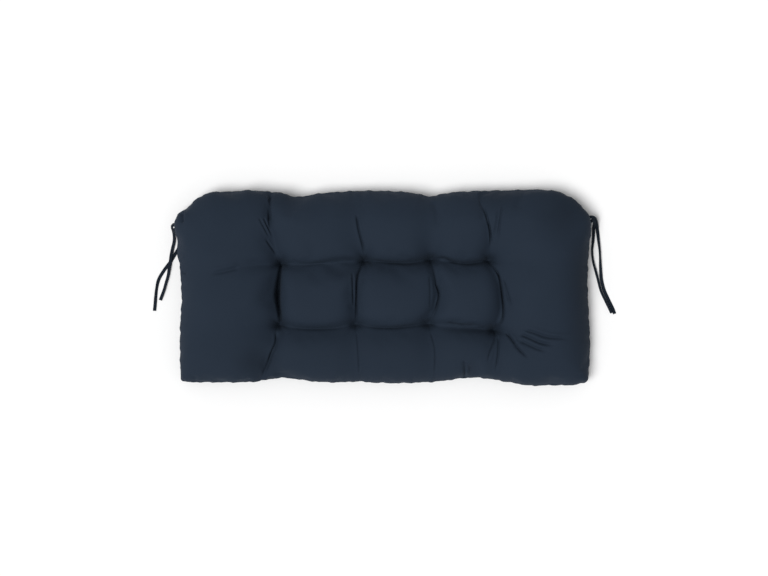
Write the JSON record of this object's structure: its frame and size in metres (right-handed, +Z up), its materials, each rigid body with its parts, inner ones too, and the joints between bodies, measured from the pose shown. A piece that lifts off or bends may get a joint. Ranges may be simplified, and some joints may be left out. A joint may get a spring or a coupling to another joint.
{
  "type": "tufted bench cushion",
  "caption": "Filled bench cushion with two rows of stitched tufts, rounded rear corners and a pair of tie strips sewn into the seam at each rear corner.",
  "frame": {"origin": "on the surface that the cushion lies on, under the middle of its outline", "axes": "+X along the bench, +Y towards the rear edge with the ties, +Z up through the crown"},
  "size_m": [1.1847, 0.4982, 0.1141],
  "materials": {
    "cover_cloth": "matt dark navy woven polyester",
    "tie_cloth": "matt dark navy folded strip of the same cloth"
  },
  "bodies": {
    "root": {"cushion": "cover_cloth", "tie_left_outer": "tie_cloth", "tie_left_inner": "tie_cloth", "tie_right_outer": "tie_cloth", "tie_right_inner": "tie_cloth"}
  },
  "joints": []
}
